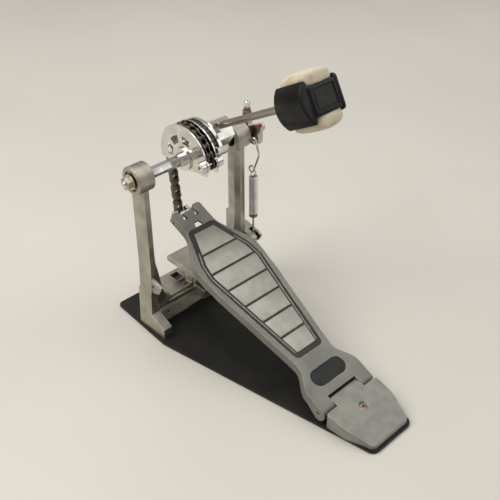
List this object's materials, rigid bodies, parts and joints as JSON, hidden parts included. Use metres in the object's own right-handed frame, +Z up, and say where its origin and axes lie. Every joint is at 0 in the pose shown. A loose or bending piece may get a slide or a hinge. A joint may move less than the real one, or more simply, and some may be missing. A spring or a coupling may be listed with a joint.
{
  "type": "bass drum pedal",
  "caption": "Chain-drive bass drum pedal with hinged footboard, round cam on a hex axle, swinging felt beater, return spring and hoop clamp.",
  "frame": {"origin": "on the floor, straight below the middle of the axle", "axes": "+X to the player's right, +Y toward the drum, +Z up"},
  "size_m": [0.1762, 0.357, 0.3303],
  "materials": {
    "cast_alloy": "warm grey cast alloy, worn satin",
    "board_alloy": "silver-grey painted casting with worn edges",
    "infill": "charcoal enamel infill",
    "black_plate": "satin black steel plate",
    "rubber": "matt rubber",
    "chrome": "bright plated, lightly worn",
    "steel": "polished steel",
    "rusty_steel": "steel with brown tarnish",
    "yellow_zinc": "yellow passivated steel",
    "chain_steel": "dark oiled steel, slightly rusted",
    "black_plastic": "satin black plastic",
    "felt": "cream pressed felt",
    "dark_felt": "dark felt lining"
  },
  "bodies": {
    "frame": {"base_plate": "black_plate", "rubber_pads": "rubber", "left_post": "cast_alloy", "right_post": "cast_alloy", "crossbar": "cast_alloy", "post_screws": "steel", "crossbar_screws": "rusty_steel", "heel_plate": "board_alloy", "heel_screw": "rusty_steel", "hinge_pin": "rusty_steel", "bearing_outer_races": "yellow_zinc", "bearing_balls": "steel", "spring_anchor_pin": "steel"},
    "footboard": {"footboard": "board_alloy", "tread_infill": "infill", "badge_infill": "infill", "toe_pin": "steel", "chain_clevis": "chrome"},
    "axle": {"hex_axle": "chrome", "bearing_inner_races": "yellow_zinc", "axle_washers": "chrome", "axle_nuts": "chrome", "cam_wheel": "chrome", "cam_felt": "dark_felt", "cam_screw": "chrome", "chain_anchor": "chrome", "chain_wrapped": "chain_steel", "hub_ring": "black_plastic", "beater_hub": "chrome", "hub_screws": "chrome", "spring_rocker": "chrome", "rocker_bolt": "chrome", "rocker_nut": "rusty_steel", "rocker_pin": "chrome"},
    "beater": {"beater_rod": "steel", "beater_core": "black_plastic", "beater_felts": "felt"},
    "link_a": {"chain_link_a": "chain_steel"},
    "link_b": {"chain_link_b": "chain_steel"},
    "link_c": {"chain_link_c": "chain_steel"},
    "link_d": {"chain_link_d": "chain_steel"},
    "chain_run": {"chain_run": "chain_steel"},
    "spring_lower": {"spring_hook": "chrome", "spring_coil": "chrome"},
    "spring_upper": {"spring_stirrup": "chrome"},
    "jaw": {"hoop_jaw": "cast_alloy", "jaw_pin": "steel", "jaw_rubber": "rubber"},
    "wing_bolt": {"wing_bolt": "chrome"}
  },
  "joints": [
    {"name": "footboard_hinge", "type": "hinge", "parent": "frame", "child": "footboard", "pos_m": [0, -0.2325, 0.0145], "axis": [1, 0, 0], "range_deg": [-7.4, 0], "stiffness_Nm_per_rad": 8, "springref_deg": 17.19},
    {"name": "axle_turn", "type": "hinge", "parent": "frame", "child": "axle", "pos_m": [0, 0, 0.1985], "axis": [1, 0, 0], "range_deg": [-57.8, 0]},
    {"name": "link_a_pivot", "type": "hinge", "parent": "axle", "child": "link_a", "pos_m": [0, 0.01716, 0.22715], "axis": [1, 0, 0], "range_deg": [0, 8.2]},
    {"name": "link_b_pivot", "type": "hinge", "parent": "link_a", "child": "link_b", "pos_m": [0, 0.02455, 0.22115], "axis": [1, 0, 0], "range_deg": [0, 16.6]},
    {"name": "link_c_pivot", "type": "hinge", "parent": "link_b", "child": "link_c", "pos_m": [0, 0.02994, 0.21329], "axis": [1, 0, 0], "range_deg": [0, 16.6]},
    {"name": "link_d_pivot", "type": "hinge", "parent": "link_c", "child": "link_d", "pos_m": [0, 0.0329, 0.20424], "axis": [1, 0, 0], "range_deg": [0, 16.6]},
    {"name": "chain_toe_pivot", "type": "hinge", "parent": "footboard", "child": "chain_run", "pos_m": [0, 0.02456, 0.11901], "axis": [1, 0, 0], "range_deg": [0, 15.4]},
    {"name": "spring_tilt", "type": "hinge", "parent": "frame", "child": "spring_lower", "pos_m": [0.078, -0.0168, 0.0695], "axis": [1, 0, 0], "range_deg": [-0.8, 0]},
    {"name": "spring_stretch", "type": "slide", "parent": "spring_lower", "child": "spring_upper", "axis": [0, 0, 1], "range_m": [0, 0.017], "deforming": ["spring_coil"]},
    {"name": "beater_height", "type": "slide", "parent": "axle", "child": "beater", "axis": [0, -0.8729, 0.4879], "range_m": [-0.02, 0.015]},
    {"name": "jaw_hinge", "type": "hinge", "parent": "frame", "child": "jaw", "pos_m": [0, 0.002, 0.045], "axis": [1, 0, 0], "range_deg": [-14, 2]},
    {"name": "wing_turn", "type": "hinge", "parent": "jaw", "child": "wing_bolt", "pos_m": [0, -0.016, 0.06], "axis": [0, 0, 1], "range_deg": [-180, 180]}
  ],
  "couplings": [
    {"joint": "axle_turn", "follows": "footboard_hinge", "ratio": 7.7978},
    {"joint": "link_a_pivot", "follows": "footboard_hinge", "ratio": -1.0901},
    {"joint": "link_b_pivot", "follows": "footboard_hinge", "ratio": -2.2156},
    {"joint": "link_c_pivot", "follows": "footboard_hinge", "ratio": -2.2156},
    {"joint": "link_d_pivot", "follows": "footboard_hinge", "ratio": -2.2156},
    {"joint": "chain_toe_pivot", "follows": "footboard_hinge", "ratio": -2.0469},
    {"joint": "spring_tilt", "follows": "footboard_hinge", "ratio": 0.094595},
    {"joint": "spring_stretch", "follows": "footboard_hinge", "m_per_rad": -0.13008}
  ]
}
